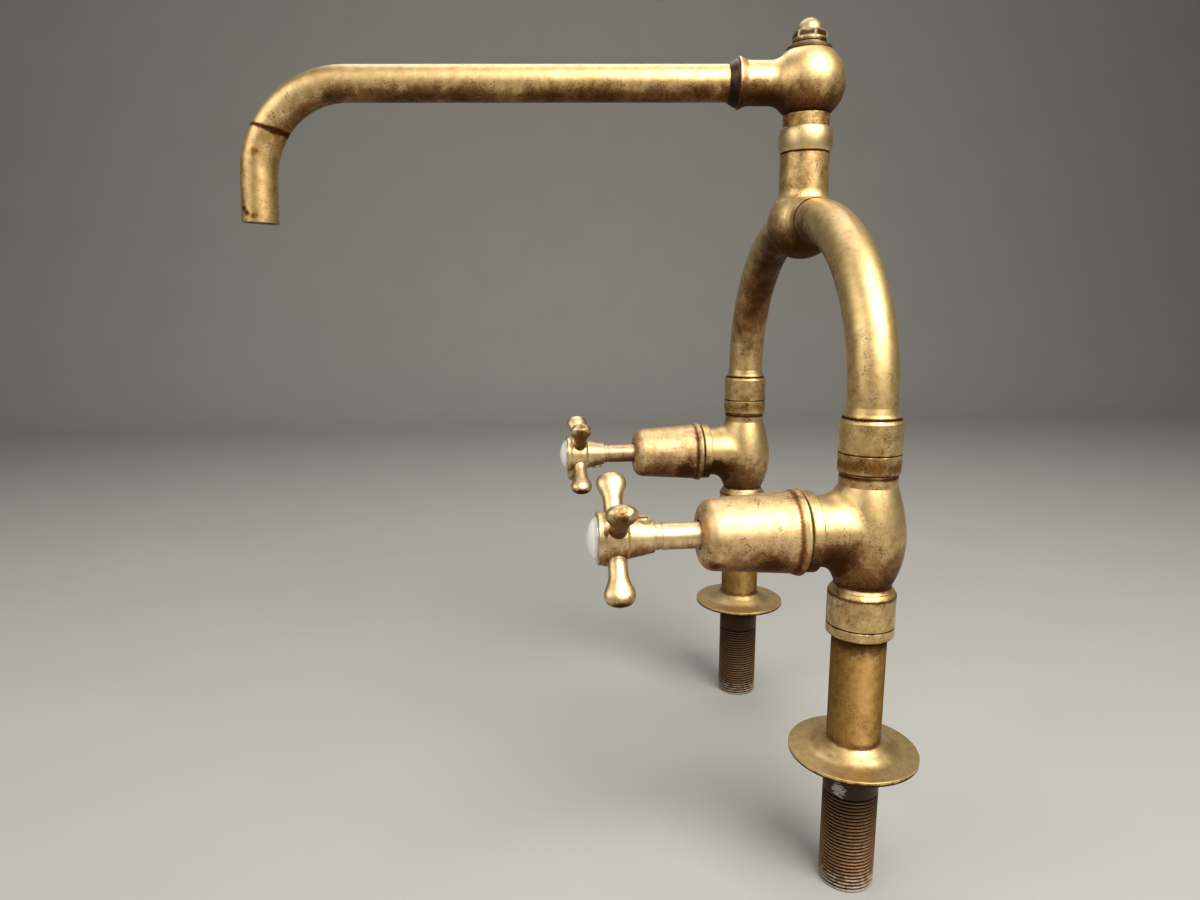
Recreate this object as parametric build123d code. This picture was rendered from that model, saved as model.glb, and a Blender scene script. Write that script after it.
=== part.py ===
from build123d import *
import math
import os

# Bridge kitchen faucet: two threaded tails through the deck, a valve on each, an arched
# bridge of two bent arms into a central tee, and a swivel head with a long hooked spout.
# Frame: origin on the deck midway between the tails, +X along the bridge towards the cold
# valve, -Y out over the sink (handles and spout), +Z up. Millimetres.

# ---- driving dimensions ---------------------------------------------------------------
CENTRES = 203.2            # tail to tail, 8 in
RUN_FIT = 0.05             # radial clearance of a shaft in its hole

# tails and deck flanges
TAIL_R = 13.22             # over the crests of the 3/4 in pipe thread
TAIL_BOTTOM = -68.5
TAIL_RELIEF = -1.0         # the thread's crests end here, below a plain shoulder
TAIL_SHOULDER = 1.0        # the tail steps down to the leg in a recess of the flange
LEG_R = 12.77
LEG_BORE_R = 9.5
FLANGE_R = 30.7
FLANGE_RIM = 2.25
FLANGE_TOP = 8.0

# lower union, where the leg meets the valve body
UNION_LOW_R = 15.68
UNION_LOW_BOTTOM = 61.85
UNION_LOW_SEAM = 67.0
UNION_LOW_TOP = 82.45
UNION_LOW_BEVEL = 84.4     # where the nut's bevel hands over to the body's
LEG_TOP = 71.6
BODY_BOTTOM = 73.4

# valve body
VALVE_Z = 112.4
BODY_R = 18.4
NECK_R = 13.2
BRANCH_R = 16.6
BRANCH_FILLET = 9.0
RING_R = 18.8
RING_BACK = 26.0           # distances out along the valve axis, from the leg's own axis
RING_FRONT = 31.4
BODY_STUB_R = 12.9
BODY_TOP = 156.2
SEAT = 4.5
SEAT_HOLE_R = 5.5
BONNET_BORE_R = 12.95

# upper union, where the valve body meets the bridge arm
UNION_HIGH_R = 14.12
LOCK_BOTTOM = 139.9
LOCK_TOP = 148.7
UNION_HIGH_TOP = 163.1
UNION_HIGH_BEVEL = 164.8
FLARE_R = 13.0             # foot of the arm's flare, above the nut

# bridge arms
ARM_R = 11.45
ARM_BORE_R = 9.6
ARM_BOTTOM = 158.0
ARM_Z = 259.0              # axis of the level part
BEND_R = 88.9
ARM_END = 12.0             # half gap between the arm ends inside the tee

# tee, swivel post and dome nut
TEE_R = 19.2
BOSS_END = 19.6            # the ball runs out in a boss that ends flush with the arm
TEE_COVE = 9.0             # radius of the cove between ball and riser
RISER_R = 13.4
RISER_TOP = 295.8
BEAD_R = 14.75
BEAD_SWELL = 2.0
BEAD_TOP = 309.2
POST_NECK_R = 12.5
POST_SHOULDER = 315.6
POST_R = 8.0
POST_TOP = 347.8
STUD_R = 4.9
STUD_TOP = 360.0
WASHER_R = 12.0
WASHER_TOP = 349.9
NUT_TOP = 364.5

# swivel head and spout
HEAD_R = 20.0
HEAD_Z = 332.0
HEAD_GAP = 0.2             # running gap above the shoulder and below the top washer
SPOUT_SWING = 5.5          # degrees that the spout stands turned towards the hot side
SPOUT_R = 9.525
SPOUT_BORE_R = 7.9
SPOUT_REACH = 299.0        # swivel axis to nozzle axis
HOOK_R = 50.0
HOOK_JOINT = 58.0          # degrees round the hook to the brazed joint
JOINT_LEAN = 72.0          # degrees that the joint's plane, cut askew, faces down
HOOK_END = 87.5            # degrees round the hook to the nozzle's straight drop
NOZZLE_R = 9.75
NOZZLE_BORE_R = 8.3
NOZZLE_TIP = 259.8
SOCKET_FILLET = 9.5
SOCKET_LIP = 38.2          # distances out along the spout, from the swivel axis
COLLAR_END = 43.2

# headwork, spindle and cover
COVER_RIM_R = 20.2
COVER_FRONT = 78.8
COVER_FRONT_R = 16.2
COVER_WALL = 1.6
SPINDLE_R = 6.2
SPINDLE_THREAD_R = 7.5
STEM_END = 105.2           # where the round stem gives way to the square tip
JUMPER_R = 8.0

# cross handles
HUB_BACK = 99.6
HUB_SHOULDER = 112.6
HUB_FRONT = 125.6
LOBE_AXIS = 117.0
LOBE_TIP = 32.0
LOBES = 4
INDEX_R = 10.0
INDEX_SEAT = 122.5
INDEX_TOP = 130.4
SCREW_R = 2.5
PAD_TOP = 9.3              # distance of the screw pad's face from the handle's axis
SCREW_AXIS = 104.8
HANDLE_TURN = {"hot": 225.0, "cold": 36.8}    # how far each handle stands turned
SIDES = {"hot": -1, "cold": 1}


# ---- shared operations ----------------------------------------------------------------
def turn(*outline):
    """A lathe-turned piece about Z from (radius, height) or (radius, height, corner radius)."""
    corners = [(point[0], 0, point[1]) for point in outline]
    radii = [point[2] if len(point) == 3 else 0 for point in outline]
    return revolve(make_face(FilletPolyline(*corners, radius=radii, close=True)), Axis.Z)


def rod(radius, low, high):
    """A plain cylinder about Z between two heights."""
    return Pos(0, 0, (low + high) / 2) * Cylinder(radius, high - low)


def hexagon(across_flats, low, high):
    """A hexagonal prism about Z between two heights."""
    outline = RegularPolygon(across_flats / 2, 6, major_radius=False)
    return Pos(0, 0, low) * extrude(outline, high - low)


def block(x_low, x_high, y_low, y_high, z_low, z_high):
    """A box between two corners."""
    centre = Pos((x_low + x_high) / 2, (y_low + y_high) / 2, (z_low + z_high) / 2)
    return centre * Box(x_high - x_low, y_high - y_low, z_high - z_low)


def along_front(piece):
    """Lays a piece made about Z along the valve axis, so that its height runs out to -Y."""
    return Pos(0, 0, VALVE_Z) * Rot(90, 0, 0) * piece


def along_spout(piece):
    """Lays a piece made about Z along the spout's level run, out from the swivel axis."""
    return Rot(0, 0, -90 - SPOUT_SWING) * Pos(0, 0, HEAD_Z) * Rot(0, 90, 0) * piece


def pipe(path, radius, bore_radius):
    """A round pipe swept along a path of straight runs and tangent arcs."""
    section = Plane(path @ 0, z_dir=path % 0) * (Circle(radius) - Circle(bore_radius))
    return sweep(section, path)


def bar(path, radius):
    """A solid round bar along the same kind of path."""
    return sweep(Plane(path @ 0, z_dir=path % 0) * Circle(radius), path)


# ---- legs and unions ------------------------------------------------------------------
def tail_pipe():
    """Hollow leg: threaded tail below the deck, plain tube above, seat collar at the top."""
    return turn(
        (LEG_BORE_R, TAIL_BOTTOM + 0.6),
        (LEG_BORE_R + 0.6, TAIL_BOTTOM),
        (TAIL_R - 0.9, TAIL_BOTTOM),
        (TAIL_R, TAIL_BOTTOM + 0.9),
        (TAIL_R, TAIL_RELIEF),
        (TAIL_R - 0.2, TAIL_RELIEF),
        (TAIL_R - 0.2, TAIL_SHOULDER),
        (LEG_R, TAIL_SHOULDER),
        (LEG_R, LEG_TOP - 2.0),
        (14.1, LEG_TOP - 2.0),
        (14.1, LEG_TOP),
        (LEG_BORE_R, LEG_TOP),
    )


def deck_flange():
    """Slip-on flange on the tail's shoulder: a thin rim that sweeps up in a cove to the leg."""
    bore = LEG_R + RUN_FIT
    recess_r = TAIL_R + 0.25
    return turn(
        (bore, TAIL_SHOULDER),
        (recess_r, TAIL_SHOULDER),
        (recess_r, 0.0),
        (FLANGE_R, 0.0, 0.3),
        (FLANGE_R, FLANGE_RIM, 0.35),
        (20.8, FLANGE_RIM + 0.6, 8.0),
        (16.2, FLANGE_TOP - 2.2, 3.0),
        (LEG_R + 0.8, FLANGE_TOP, 0.4),
        (bore, FLANGE_TOP),
    )


def lower_union_ring():
    """Lock ring under the lower union nut."""
    bore = LEG_R + RUN_FIT
    return turn(
        (bore, UNION_LOW_BOTTOM),
        (UNION_LOW_R, UNION_LOW_BOTTOM, 1.0),
        (UNION_LOW_R, UNION_LOW_SEAM - 0.25, 0.3),
        (bore, UNION_LOW_SEAM - 0.25),
    )


def lower_union_nut():
    """Round union nut that pulls the leg's collar up against the valve body."""
    return turn(
        (LEG_R + 0.55, UNION_LOW_SEAM + 0.25),
        (UNION_LOW_R, UNION_LOW_SEAM + 0.25, 0.3),
        (UNION_LOW_R, UNION_LOW_TOP, 0.6),
        (14.4, UNION_LOW_BEVEL),
        (14.17, UNION_LOW_BEVEL),
        (14.17, LEG_TOP - 2.2),
        (LEG_R + 0.55, LEG_TOP - 2.2),
    )


def lower_union_washer():
    """Fibre washer between the leg's collar and the valve body."""
    return turn(
        (LEG_BORE_R, LEG_TOP),
        (14.0, LEG_TOP),
        (14.0, BODY_BOTTOM),
        (LEG_BORE_R, BODY_BOTTOM),
    )


def upper_lock_ring():
    """Lock ring under the upper union nut."""
    bore = BODY_STUB_R + RUN_FIT
    return turn(
        (bore, LOCK_BOTTOM),
        (UNION_HIGH_R, LOCK_BOTTOM, 0.7),
        (UNION_HIGH_R, LOCK_TOP, 0.35),
        (bore, LOCK_TOP),
    )


def upper_union_nut():
    """Round union nut with a bevelled top, which holds the arm's collar down."""
    return turn(
        (BODY_STUB_R + RUN_FIT, LOCK_TOP + 0.4),
        (UNION_HIGH_R, LOCK_TOP + 0.4, 0.35),
        (UNION_HIGH_R, UNION_HIGH_TOP, 0.6),
        (FLARE_R + 0.2, UNION_HIGH_BEVEL),
        (ARM_R + 0.15, UNION_HIGH_BEVEL),
        (ARM_R + 0.15, ARM_BOTTOM + 2.6),
        (BODY_STUB_R + RUN_FIT, ARM_BOTTOM + 2.6),
    )


def upper_union_washer():
    """Fibre washer between the valve body and the bridge arm's collar."""
    return turn(
        (LEG_BORE_R, BODY_TOP),
        (BODY_STUB_R - 0.1, BODY_TOP),
        (BODY_STUB_R - 0.1, ARM_BOTTOM),
        (LEG_BORE_R, ARM_BOTTOM),
    )


# ---- valve ----------------------------------------------------------------------------
def valve_column():
    """Outer form of the valve body's upright part: stub, waist, belly, neck and stub."""
    outline = [
        Line((0, 0, BODY_BOTTOM), (14.12, 0, BODY_BOTTOM)),
        Line((14.12, 0, BODY_BOTTOM), (14.12, 0, UNION_LOW_BEVEL + 0.3)),
        Line((14.12, 0, UNION_LOW_BEVEL + 0.3), (NECK_R, 0, 86.2)),
        Line((NECK_R, 0, 86.2), (NECK_R, 0, 87.2)),
        ThreePointArc((NECK_R, 0, 87.2), (17.1, 0, 98.0), (BODY_R, 0, 110.0)),
        ThreePointArc((BODY_R, 0, 110.0), (16.4, 0, 123.0), (NECK_R, 0, 134.0)),
        Line((NECK_R, 0, 134.0), (NECK_R, 0, LOCK_BOTTOM - 0.4)),
        Line((NECK_R, 0, LOCK_BOTTOM - 0.4), (BODY_STUB_R, 0, LOCK_BOTTOM - 0.1)),
        Line((BODY_STUB_R, 0, LOCK_BOTTOM - 0.1), (BODY_STUB_R, 0, BODY_TOP)),
        Line((BODY_STUB_R, 0, BODY_TOP), (0, 0, BODY_TOP)),
        Line((0, 0, BODY_TOP), (0, 0, BODY_BOTTOM)),
    ]
    return revolve(make_face(outline), Axis.Z)


def valve_waterway():
    """Hollow of the valve body: inlet from below, back pocket, seat hole, front chamber, outlet."""
    inlet = rod(LEG_BORE_R - 1, BODY_BOTTOM, 99)
    back_pocket = along_front(rod(9, -12, -1))
    inlet_link = block(-6, 6, 1, 8, 96, VALVE_Z)
    seat_hole = along_front(rod(SEAT_HOLE_R, -2, SEAT))
    chamber = along_front(rod(BONNET_BORE_R, SEAT - 1, RING_FRONT))
    seat_rim = along_front(turn((5.0, 2.0), (7.2, 2.0), (6.6, SEAT), (5.0, SEAT)))
    outlet = rod(LEG_BORE_R - 1, 127, BODY_TOP)
    outlet_link = block(-5, 5, -8, -4, VALVE_Z, 129)
    front = chamber + outlet + outlet_link - seat_rim
    return front + inlet + back_pocket + inlet_link + seat_hole


def valve_body():
    """Globe-pattern valve body with a branch to the front that ends in a beaded mouth."""
    branch = along_front(rod(BRANCH_R, 0, RING_BACK + 1))
    body = valve_column() + branch
    crease = [edge for edge in body.edges() if edge.center().Y < -2 and edge.center().Y > -24
              and edge.geom_type not in (GeomType.LINE, GeomType.CIRCLE)]
    body = fillet(crease, BRANCH_FILLET)
    mouth = turn(
        (BRANCH_R - 2, RING_BACK),
        (RING_R, RING_BACK, 0.7),
        (RING_R, RING_FRONT, 0.8),
        (BRANCH_R - 2, RING_FRONT),
    )
    return body + along_front(mouth) - valve_waterway()


def bonnet_washer():
    """Fibre washer that shows as a dark line between the body's mouth and the cover."""
    return turn(
        (BONNET_BORE_R, RING_FRONT),
        (17.4, RING_FRONT),
        (17.4, RING_FRONT + 0.8),
        (BONNET_BORE_R, RING_FRONT + 0.8),
    )


def headwork():
    """Bonnet: screws into the mouth, guides the spindle's thread and holds the gland."""
    shell = turn(
        (SPINDLE_THREAD_R + RUN_FIT, 16.2),
        (BONNET_BORE_R - RUN_FIT, 16.2, 0.6),
        (BONNET_BORE_R - RUN_FIT, RING_FRONT + 0.8),
        (17.0, RING_FRONT + 0.8),
        (17.0, 35.5),
        (16.4, 35.5),
        (16.4, 40.0),
        (10.5, 40.0),
        (10.5, 62.0),
        (8.7, 62.0),
        (8.7, 54.0),
        (SPINDLE_R + 0.1, 54.0),
        (SPINDLE_R + 0.1, 46.5),
        (SPINDLE_THREAD_R + RUN_FIT, 46.5),
    )
    spanner_hex = hexagon(25, 40, 46) - rod(10, 39, 47)
    return shell + spanner_hex


def gland_packing():
    """Graphited packing ring squeezed round the spindle in the stuffing box."""
    return turn(
        (SPINDLE_R + RUN_FIT, 54.0),
        (8.65, 54.0),
        (8.65, 58.4),
        (SPINDLE_R + RUN_FIT, 58.4),
    )


def gland_nut():
    """Gland nut: screws over the barrel and presses its follower on the packing."""
    cap = turn(
        (10.55, 57.5),
        (11.8, 57.5),
        (11.8, 66.5),
        (SPINDLE_R + 0.1, 66.5),
        (SPINDLE_R + 0.1, 58.4),
        (8.6, 58.4),
        (8.6, 62.3),
        (10.55, 62.3),
    )
    return cap + (hexagon(24, 59, 65) - rod(11, 58, 66))


def cover():
    """Bell-shaped easy-clean cover, screwed on the headwork's collar."""
    rim_back = RING_FRONT + 0.9
    return turn(
        (COVER_RIM_R - 0.9, rim_back, 0.3),
        (COVER_RIM_R, rim_back + 0.6, 0.5),
        (COVER_RIM_R, rim_back + 1.5, 0.6),
        (19.0, rim_back + 5.0, 5.0),
        (18.6, 42.5, 6.0),
        (COVER_FRONT_R, COVER_FRONT, 6.5),
        (SPINDLE_R + 0.5, COVER_FRONT, 0.4),
        (SPINDLE_R + 0.5, COVER_FRONT - COVER_WALL),
        (COVER_FRONT_R - COVER_WALL, COVER_FRONT - COVER_WALL, 4.9),
        (17.0, 41.0),
        (16.45, 41.0),
        (16.45, 36.0),
        (17.5, 36.0),
        (17.5, rim_back),
    )


def spindle():
    """Rising spindle: bored end for the jumper, screw thread land, plain stem, squared tip."""
    stem = turn(
        (3.06, 10.6),
        (5.5, 10.6, 0.4),
        (5.5, 22.0),
        (SPINDLE_THREAD_R, 22.0),
        (SPINDLE_THREAD_R, 40.0),
        (SPINDLE_R, 40.8),
        (SPINDLE_R, 96.2),
        (SPINDLE_R - 0.35, 96.4),
        (SPINDLE_R - 0.35, 97.2),
        (SPINDLE_R, 97.4),
        (SPINDLE_R, STEM_END),
        (0, STEM_END),
        (0, 24.0),
        (3.06, 24.0),
    )
    tip = Pos(0, 0, STEM_END) * extrude(Rectangle(8, 8), 13)
    return stem + chamfer(tip.edges().group_by(Axis.Z)[-1], 0.6)


def jumper():
    """Jumper valve: plate with a stem up the spindle and a spigot through its washer."""
    return turn(
        (0, 3.6),
        (1.95, 3.6, 0.3),
        (1.95, 7.5),
        (JUMPER_R, 7.5),
        (JUMPER_R, 10.5),
        (3.0, 10.5),
        (3.0, 22.5, 0.4),
        (0, 22.5),
    )


def jumper_washer():
    """Rubber washer that closes on the seat."""
    return turn((2.0, SEAT), (7.8, SEAT, 0.4), (7.8, 7.5), (2.0, 7.5))


# ---- handle ---------------------------------------------------------------------------
def lobe():
    """One arm of the cross: an oval neck that swells to a flattened paddle with a round end."""
    stations = [          # distance out, half width along the spindle, half thickness
        (7.0, 5.2, 4.6),
        (12.0, 4.6, 4.1),
        (16.5, 4.5, 3.8),
        (20.5, 5.1, 3.9),
        (24.0, 6.5, 4.2),
        (27.0, 7.1, 4.35),
        (29.6, 6.2, 3.9),
        (31.4, 3.8, 2.6),
        (LOBE_TIP, 1.6, 1.1),
    ]
    rings = [Plane((out, 0, 0), x_dir=(0, 0, 1), z_dir=(1, 0, 0)) * Ellipse(wide, thick)
             for out, wide, thick in stations]
    return Pos(0, 0, LOBE_AXIS) * loft(rings)


def cross_handle():
    """Cast cross handle: hub with a bezel, tapered rear boss, four lobes, a screw pad."""
    hub = turn(
        (0, HUB_BACK),
        (7.35, HUB_BACK, 0.4),
        (9.8, HUB_SHOULDER - 1.0, 1.2),
        (11.2, HUB_SHOULDER, 1.0),
        (11.4, HUB_FRONT - 4.0, 2.0),
        (12.1, HUB_FRONT - 2.2, 1.0),
        (12.1, HUB_FRONT, 0.6),
        (0, HUB_FRONT),
    )
    arms = [Rot(0, 0, number * 360 / LOBES) * lobe() for number in range(LOBES)]
    pad = Rot(0, 0, 180 / LOBES) * Pos(0, 0, SCREW_AXIS) * Rot(0, 90, 0) * rod(3.7, 4, PAD_TOP)
    screw_hole = Rot(0, 0, 180 / LOBES) * Pos(0, 0, SCREW_AXIS) * Rot(0, 90, 0) * rod(
        SCREW_R + RUN_FIT, 0, 12)
    handle = hub + arms + pad
    handle -= rod(SPINDLE_R + RUN_FIT, HUB_BACK - 1, STEM_END + 0.1)
    handle -= Pos(0, 0, STEM_END) * extrude(Rectangle(8.1, 8.1), 13.2)
    handle -= rod(INDEX_R + RUN_FIT, INDEX_SEAT, HUB_FRONT + 1)
    return handle - screw_hole


def index_disc():
    """Domed porcelain disc set in the bezel."""
    base, rim = INDEX_SEAT + 0.1, INDEX_SEAT + 3.8
    dome_r = (INDEX_R**2 + (INDEX_TOP - rim)**2) / (2 * (INDEX_TOP - rim))
    half_way = INDEX_TOP - dome_r + math.sqrt(dome_r**2 - (INDEX_R / 2)**2)
    outline = [
        Line((0, 0, base), (INDEX_R, 0, base)),
        Line((INDEX_R, 0, base), (INDEX_R, 0, rim)),
        ThreePointArc((INDEX_R, 0, rim), (INDEX_R / 2, 0, half_way), (0, 0, INDEX_TOP)),
        Line((0, 0, INDEX_TOP), (0, 0, base)),
    ]
    return revolve(make_face(outline), Axis.Z)


def grub_screw():
    """Slotted grub screw that bears on the spindle."""
    body = chamfer(rod(SCREW_R, SPINDLE_R + 0.02, 9.5).edges(), 0.3)
    slot = block(-SCREW_R, SCREW_R, -0.45, 0.45, 8.4, 9.6)
    return Rot(0, 0, 180 / LOBES) * Pos(0, 0, SCREW_AXIS) * Rot(0, 90, 0) * (body - slot)


# ---- bridge ---------------------------------------------------------------------------
def arm_axis():
    """Centre line of the right-hand arm, from its union up and round into the tee."""
    leg_x = CENTRES / 2
    bend_start = (leg_x, 0, ARM_Z - BEND_R)
    bend_end = (leg_x - BEND_R, 0, ARM_Z)
    reach = BEND_R * math.sqrt(0.5)
    bend_middle = (leg_x - BEND_R + reach, 0, ARM_Z - BEND_R + reach)
    return Wire([
        Line((leg_x, 0, ARM_BOTTOM), bend_start),
        ThreePointArc(bend_start, bend_middle, bend_end),
        Line(bend_end, (ARM_END, 0, ARM_Z)),
    ])


def bridge_arm():
    """Right-hand arm: tube with a collar for the union nut at its foot and a flare above it."""
    leg_x = CENTRES / 2
    collar = Pos(leg_x, 0, 0) * turn(
        (ARM_R - 0.5, ARM_BOTTOM),
        (BODY_STUB_R - 0.1, ARM_BOTTOM),
        (BODY_STUB_R - 0.1, ARM_BOTTOM + 2.4),
        (ARM_R - 0.5, ARM_BOTTOM + 2.4),
    )
    flare = Pos(leg_x, 0, 0) * turn(
        (ARM_R - 0.5, UNION_HIGH_BEVEL + 0.3),
        (FLARE_R, UNION_HIGH_BEVEL + 0.3, 0.3),
        (FLARE_R - 0.9, UNION_HIGH_BEVEL + 1.9, 4.0),
        (ARM_R + 0.05, 169.9),
        (ARM_R - 0.5, 169.9),
    )
    return pipe(arm_axis(), ARM_R, ARM_BORE_R) + collar + flare


def tee_body():
    """Ball-shaped tee that flows up into a riser, with bosses where the arms are brazed in."""
    along_x = Pos(0, 0, ARM_Z) * Rot(0, 90, 0)
    cove_out = RISER_R + TEE_COVE
    cove_up = math.sqrt((TEE_R + TEE_COVE)**2 - cove_out**2)
    share = TEE_R / (TEE_R + TEE_COVE)
    blend = (cove_out * share, cove_up * share)
    halfway = math.atan2(blend[1] - cove_up, blend[0] - cove_out) / 2 - math.pi / 2
    outline = Plane.YZ * Wire([
        Line((0, RISER_TOP - ARM_Z), (RISER_R, RISER_TOP - ARM_Z)),
        Line((RISER_R, RISER_TOP - ARM_Z), (RISER_R, cove_up)),
        ThreePointArc(
            (RISER_R, cove_up),
            (cove_out + TEE_COVE * math.cos(halfway), cove_up + TEE_COVE * math.sin(halfway)),
            blend),
        ThreePointArc(blend, (TEE_R * math.cos(0.3), -TEE_R * math.sin(0.3)), (0, -TEE_R)),
        Line((0, -TEE_R), (0, RISER_TOP - ARM_Z)),
    ])
    body = Pos(0, 0, ARM_Z) * revolve(make_face(outline), Axis.Z)
    boss = turn(
        (0, 11.0),
        (14.6, 12.3),
        (12.1, 16.0, 5.0),
        (ARM_R + 0.3, BOSS_END),
        (0, BOSS_END),
    )
    body += along_x * boss
    body += along_x * Rot(180, 0, 0) * boss
    socket = bar(arm_axis(), ARM_R + RUN_FIT)
    crossway = along_x * rod(ARM_BORE_R, -ARM_END - 1, ARM_END + 1)
    upway = rod(9.0, ARM_Z, 280.0) + rod(10.45, 279.0, RISER_TOP)
    return body - socket - mirror(socket, Plane.YZ) - crossway - upway


# ---- swivel ---------------------------------------------------------------------------
def swivel_post():
    """Hollow post: spigot in the riser, plain neck, ported spindle for the head, top stud."""
    post = turn(
        (6.0, 279.2),
        (10.4, 279.2, 0.5),
        (10.4, RISER_TOP),
        (POST_NECK_R, RISER_TOP),
        (POST_NECK_R, POST_SHOULDER, 0.3),
        (POST_R, POST_SHOULDER),
        (POST_R, POST_TOP),
        (STUD_R, POST_TOP),
        (STUD_R, STUD_TOP, 0.6),
        (0, STUD_TOP),
        (0, 340.0),
        (6.0, 340.0),
    )
    port = Pos(0, 0, HEAD_Z) * Rot(0, 90, 0) * rod(4.5, -10, 10)
    return post - port - Rot(0, 0, 90) * port


def bead_collar():
    """Barrel-shaped collar over the joint between riser and post."""
    bore = POST_NECK_R + RUN_FIT
    height = BEAD_TOP - RISER_TOP - 0.5
    middle = RISER_TOP + 0.3 + height / 2
    swelling = Pos(BEAD_R - BEAD_SWELL, middle) * Ellipse(BEAD_SWELL, height / 2)
    outside = Pos(bore + BEAD_R / 2, middle) * Rectangle(BEAD_R, height + 1)
    return revolve(Plane.XZ * (swelling & outside), Axis.Z)


def swivel_head():
    """Ball head that turns on the post, cast with the flared socket for the spout."""
    low = POST_SHOULDER + HEAD_GAP
    high = POST_TOP - HEAD_GAP
    ball = Pos(0, 0, HEAD_Z) * Sphere(HEAD_R)
    body = ball & rod(HEAD_R + 1, low, high)
    neck = along_spout(rod(11.4, 10, SOCKET_LIP - 1))
    body = body + neck
    crease = [edge for edge in body.edges() if 14 < math.hypot(edge.center().X, edge.center().Y) < 19]
    body = fillet(crease, SOCKET_FILLET)
    lip = turn(
        (9.6, 31.5),
        (11.4, 31.5),
        (11.5, 33.5, 3.0),
        (13.2, SOCKET_LIP - 1.2, 0.4),
        (13.2, SOCKET_LIP, 0.4),
        (9.6, SOCKET_LIP),
    )
    hollow = rod(12.5, 322.5, 341.0) + rod(POST_R + RUN_FIT, low - 1, high + 1)
    grooves = rod(10.0, 318.0, 320.6) + rod(10.0, 343.0, 345.6)
    waterway = along_spout(rod(7.9, 5, 23) + rod(SPOUT_R + RUN_FIT, 22, SOCKET_LIP + 1))
    return body + along_spout(lip) - hollow - grooves - waterway


def packing_ring(low, high):
    """Packing ring in a groove of the head, sealing on the post."""
    return turn(
        (POST_R + RUN_FIT, low + 0.1),
        (9.95, low + 0.1),
        (9.95, high - 0.1),
        (POST_R + RUN_FIT, high - 0.1),
    )


def top_washer():
    """Thick washer clamped on the post above the head."""
    return turn(
        (STUD_R + RUN_FIT, POST_TOP),
        (WASHER_R, POST_TOP, 0.4),
        (WASHER_R, WASHER_TOP, 0.5),
        (STUD_R + RUN_FIT, WASHER_TOP),
    )


def dome_nut():
    """Acorn nut: stepped round foot, chamfered hexagon and a dome over the stud."""
    hex_low = WASHER_TOP + 4.1
    hex_high = WASHER_TOP + 8.0
    dome_r = 7.0
    foot = turn(
        (0, WASHER_TOP),
        (9.5, WASHER_TOP, 0.3),
        (9.5, WASHER_TOP + 1.4, 0.5),
        (8.6, WASHER_TOP + 1.6),
        (8.9, WASHER_TOP + 2.0, 0.3),
        (8.9, hex_low),
        (0, hex_low),
    )
    chamfer_cone = turn(
        (0, hex_low - 0.5),
        (12.0, hex_low - 0.5),
        (12.0, hex_high - 2.2),
        (7.4, hex_high),
        (0, hex_high),
    )
    dome = Pos(0, 0, NUT_TOP - dome_r) * Sphere(dome_r) & rod(dome_r + 1, hex_low, NUT_TOP + 1)
    nut = foot + (hexagon(16.0, hex_low - 0.3, hex_high) & chamfer_cone) + dome
    return nut - rod(STUD_R + RUN_FIT, WASHER_TOP - 1, STUD_TOP + 0.8)


# ---- spout ----------------------------------------------------------------------------
def spout_point(out, height):
    """A point in the upright plane of the spout, out from the swivel axis."""
    turn_angle = math.radians(-90 - SPOUT_SWING)
    return (out * math.cos(turn_angle), out * math.sin(turn_angle), height)


def hook_point(degrees_round):
    """A point on the hook's axis, counted round from where the level run ends."""
    end = math.radians(HOOK_END)
    drop = (HEAD_Z - HOOK_R + HOOK_R * math.cos(end) - NOZZLE_TIP) / math.sin(end)
    level_end = SPOUT_REACH - HOOK_R * math.sin(end) - drop * math.cos(end)
    angle = math.radians(degrees_round)
    return spout_point(level_end + HOOK_R * math.sin(angle), HEAD_Z - HOOK_R + HOOK_R * math.cos(angle))


def spout_collar():
    """Dark tapered collar between the socket's lip and the spout tube."""
    return along_spout(turn(
        (SPOUT_R + RUN_FIT, SOCKET_LIP + 0.1),
        (12.4, SOCKET_LIP + 0.1, 0.3),
        (12.0, SOCKET_LIP + 1.5, 0.4),
        (SPOUT_R + 0.5, COLLAR_END, 0.3),
        (SPOUT_R + RUN_FIT, COLLAR_END),
    ))


def spout_axis():
    """Centre line of the whole spout: level run, hook and short drop."""
    return Wire([
        Line(spout_point(23.5, HEAD_Z), hook_point(0)),
        ThreePointArc(hook_point(0), hook_point(HOOK_END / 2), hook_point(HOOK_END)),
        Line(hook_point(HOOK_END), spout_point(SPOUT_REACH, NOZZLE_TIP)),
    ])


def beyond_joint():
    """A block that takes in all of the spout beyond its brazed joint."""
    lean = math.radians(JOINT_LEAN)
    facing = spout_point(math.cos(lean), -math.sin(lean))
    return Plane(hook_point(HOOK_JOINT), z_dir=facing) * block(-60, 60, -60, 60, 0, 60)


def spout_tube():
    """Spout tube: level run and the first part of the hook."""
    return pipe(spout_axis(), SPOUT_R, SPOUT_BORE_R) - beyond_joint()


def spout_nozzle():
    """Nozzle end: the rest of the hook, a shade wider than the tube, and a short drop."""
    return pipe(spout_axis(), NOZZLE_R, NOZZLE_BORE_R) & beyond_joint()


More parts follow.
